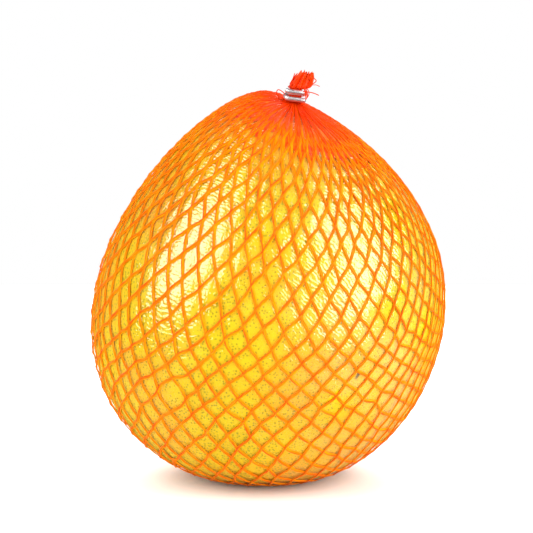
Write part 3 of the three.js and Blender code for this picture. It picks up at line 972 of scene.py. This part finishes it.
def makeGather(name, s, tail, end):
    draw = np.random.default_rng(s["seed"] + end["sign"])
    theta = np.arange(s["around"]) / s["around"] * 2 * math.pi
    wobble = 0.5 * np.sin(3 * theta + 1) + 0.4 * np.sin(5 * theta)
    folds = np.cos(s["pleats"] * theta + wobble) + 0.5 * np.cos(s["finePleats"] * theta + 2 * wobble)
    neckFolds = np.cos(s["neckPleats"] * theta + wobble) * s["neckPleatDepth"]
    neckFolds = neckFolds + np.cos(s["pleats"] * theta) * s["fineNeckDepth"]
    clipTop = netting["shoulder"] + netting["clipTurns"] * netting["clipPitch"] + netting["clipWire"]
    own = end["sign"] * theta   # the netting's own angle
    rings = []
    torn = smoothRound(draw.random(len(theta)), 5)
    for t in np.linspace(1.0, 0.0, s["ringsOnFruit"]):
        rise = 1 - abs(2 * t - 0.9) ** 2
        offset = fruit["netInside"] + s["lift"] + np.maximum(rise, 0) * s["pleatDepth"] * folds
        rings.append(gatherPoints(end, t * (1 + s["fingers"] * torn * t ** 3), own, offset))
    for along in np.linspace(netting["shoulder"], clipTop, 6)[1:]:
        fold = 0.92 + neckFolds * 0.6
        rings.append(neckPoints(end["neck"], along, theta, netting["neckHalfWidth"] * fold,
                                netting["neckHalfDepth"] * fold, netting["clipSquareness"]))
    ragged = smoothRound(draw.random(len(theta)) - 0.5, 3) * 1.8    # the mean narrows it, so it is widened
    for t in np.linspace(0, 1, 13)[1:]:
        fold = tailWidth(tail, t) * (0.9 + neckFolds * (1 + 1.5 * t))
        along = clipTop - s["tuck"] + (tail["length"] + s["tuck"]) * t * 0.92 + ragged * tail["rag"] * t
        rings.append(neckPoints(end["neck"], along, theta, netting["neckHalfWidth"] * fold,
                                netting["neckHalfDepth"] * fold) + tailLean(tail, end, t))
    # the cut end is hollow a little way down
    for t in (0.7, 0.35):
        narrow = tailWidth(tail, 1.0) * 0.9 * t
        along = clipTop + tail["length"] * 0.8 + ragged * tail["rag"] * t
        rings.append(neckPoints(end["neck"], along, theta, netting["neckHalfWidth"] * narrow,
                                netting["neckHalfDepth"] * narrow) + tailLean(tail, end, 1.0))
    makePiece(name, onFloor(np.concatenate(rings)), [gridFaces(len(rings), s["around"])],
              gatheredNetting, "net")
    return clipTop


thread = dict(
    radius=0.19 * mm, sides=5, stations=12,
    tuck=0.6 * mm,          # each thread starts this far below the top of the clip
    bend=0.8 * mm,
)


def makeThreads(name, s, tail, end, clipTop, extra=()):
    # cut ends of the strands standing out of the clip, each a fine bent thread
    draw = np.random.default_rng(tail["seed"])
    t = np.linspace(0, 1, s["stations"])
    lines = []
    neck = end["neck"]
    for _ in range(tail["threads"]):
        angle = draw.uniform(0, 2 * math.pi)
        base = draw.uniform(0.3, 1.0)
        length = tail["length"] * draw.uniform(0.7, 1.12)
        bend = draw.normal(size=2) * s["bend"]
        out = base * (tailWidth(tail, t) + 0.08)
        along = clipTop - s["tuck"] + (length + s["tuck"]) * t
        points = neckPoints(neck, along, np.full(s["stations"], angle), netting["neckHalfWidth"] * out,
                            netting["neckHalfDepth"] * out)
        curl = (t ** 2)[:, None] * (bend[0] * neck["across"] + bend[1] * neck["depth"])
        lines.append(points + curl + tailLean(tail, end, t))
    for path in extra:
        path = np.array(path) * mm
        knots = np.linspace(0, 1, len(path))
        smoothPath = np.stack([np.interp(t, knots, path[:, k]) for k in range(3)], 1)
        smoothPath[1:-1] = (smoothPath[:-2] + 2 * smoothPath[1:-1] + smoothPath[2:]) / 4
        lines.append(neck["pole"] + smoothPath[:, :1] * neck["across"] + smoothPath[:, 1:2] * neck["depth"]
                     + smoothPath[:, 2:] * neck["axis"])
    centre = np.array(lines)
    along = np.gradient(centre, axis=1)
    along /= np.linalg.norm(along, axis=-1, keepdims=True)
    side = np.cross(along, np.array([0.3, 1.0, 0.1]))
    side /= np.linalg.norm(side, axis=-1, keepdims=True)
    radius = np.full(centre.shape[:2], s["radius"]) * draw.uniform(0.7, 1.2, (len(lines), 1))
    points, faces = tubes(centre, np.cross(side, along), side, radius, s["sides"])
    makePiece(name, onFloor(points), faces, knittedCord, "net")


# loose threads seen beside the upper clip: across, depth and along the neck, in mm
looseThreads = [
    [(2.0, -1.5, 5.0), (4.5, -2.6, 6.2), (7.0, -2.9, 6.0), (8.9, -2.6, 5.3), (9.6, -2.0, 4.9)],
    [(2.5, -0.6, 6.6), (5.5, -1.0, 8.6), (8.2, -0.6, 9.0), (9.8, 0.2, 8.2)],
    [(1.0, 0.4, 7.2), (3.4, 0.6, 10.6), (5.6, 0.4, 12.6), (6.4, 0.2, 13.4)],
    [(-2.6, -1.4, 2.4), (-5.2, -2.4, 5.6), (-7.4, -2.0, 6.6), (-8.0, -0.8, 4.6), (-6.4, -0.6, 2.2)],
    [(1.8, 1.4, 7.0), (6.2, 1.2, 8.2), (8.6, 0.4, 10.4), (7.2, -0.4, 11.6)],
    # over the end of the upper bar
    [(2.8, -1.8, 8.4), (3.9, -3.4, 7.0), (4.4, -4.6, 5.4), (4.0, -4.9, 3.6)],
    [(3.4, -1.6, 8.0), (4.7, -3.0, 6.6), (5.0, -4.0, 5.0), (4.3, -4.8, 3.2)],
    [(3.2, -2.0, 8.8), (4.3, -3.6, 7.2), (4.8, -4.5, 5.6), (4.7, -4.8, 4.2)],
    [(3.8, -1.4, 7.8), (5.3, -2.4, 6.8), (5.6, -3.2, 5.4), (4.9, -4.2, 4.0)],
    [(2.4, -2.2, 8.6), (3.5, -3.8, 7.4), (4.0, -4.9, 5.8), (4.2, -5.1, 4.4)],
]
upperClipTop = makeGather("upperGather", gather, upperTail, ends["upper"])
makeThreads("upperTailThreads", thread, upperTail, ends["upper"], upperClipTop, looseThreads)
lowerClipTop = makeGather("lowerGather", gather, lowerTail, ends["lower"])
makeThreads("lowerTailThreads", thread, lowerTail, ends["lower"], lowerClipTop)
print("gathers made")


# wire clips

clip = dict(
    steps=110, sides=16, gap=0.3 * mm,
    dipBehind=0.8 * mm,     # the rear pass runs this much lower
    trim=0.45,              # radians cut off each end
    rounding=0.8 * mm,      # length over which the cut ends are rounded
)


def makeClip(name, s, end, nodeName):
    n = netting
    t = np.linspace(0, 1, s["steps"] + 1)
    halfWidth = n["neckHalfWidth"] + s["gap"] + n["clipWire"] / 2
    halfDepth = n["neckHalfDepth"] + s["gap"] + n["clipWire"] / 2
    theta = mix(math.pi + s["trim"], math.pi * (1 + 2 * n["clipTurns"]) - s["trim"], t)
    along = n["shoulder"] + n["clipWire"] / 2 + (1 - t) * n["clipTurns"] * n["clipPitch"]
    along -= s["dipBehind"] * np.maximum(np.sin(theta), 0) ** 0.5
    centre = neckPoints(end["neck"], along, theta, halfWidth, halfDepth, n["clipSquareness"])
    for _ in range(3):
        centre[1:-1] = (centre[:-2] + 2 * centre[1:-1] + centre[2:]) / 4
    forward = np.gradient(centre, axis=0)
    forward /= np.linalg.norm(forward, axis=-1, keepdims=True)
    up = end["neck"]["axis"] - forward * (forward @ end["neck"]["axis"])[:, None]
    up /= np.linalg.norm(up, axis=-1, keepdims=True)
    side = np.cross(forward, up)
    fromEnd = np.minimum(t, 1 - t) * np.linalg.norm(np.diff(centre, axis=0), axis=1).sum()
    full = np.clip(fromEnd / s["rounding"], 0, 1)
    radius = n["clipWire"] / 2 * np.sqrt(np.maximum(1 - (1 - full) ** 2, 0.02))
    points, faces = tubes(centre[None], up[None], side[None], radius[None], s["sides"])
    makePiece(name, onFloor(points), faces, clipWire, nodeName)


makeClip("upperClipWire", clip, ends["upper"], "upper_clip")
makeClip("lowerClipWire", clip, ends["lower"], "lower_clip")
print("clips made")

for piece in bpy.context.scene.objects:
    if piece.type == "MESH" and piece.name not in frame["nodes"]:
        piece.data.calc_loop_triangles()
        print(piece.name, len(piece.data.loop_triangles), "triangles")
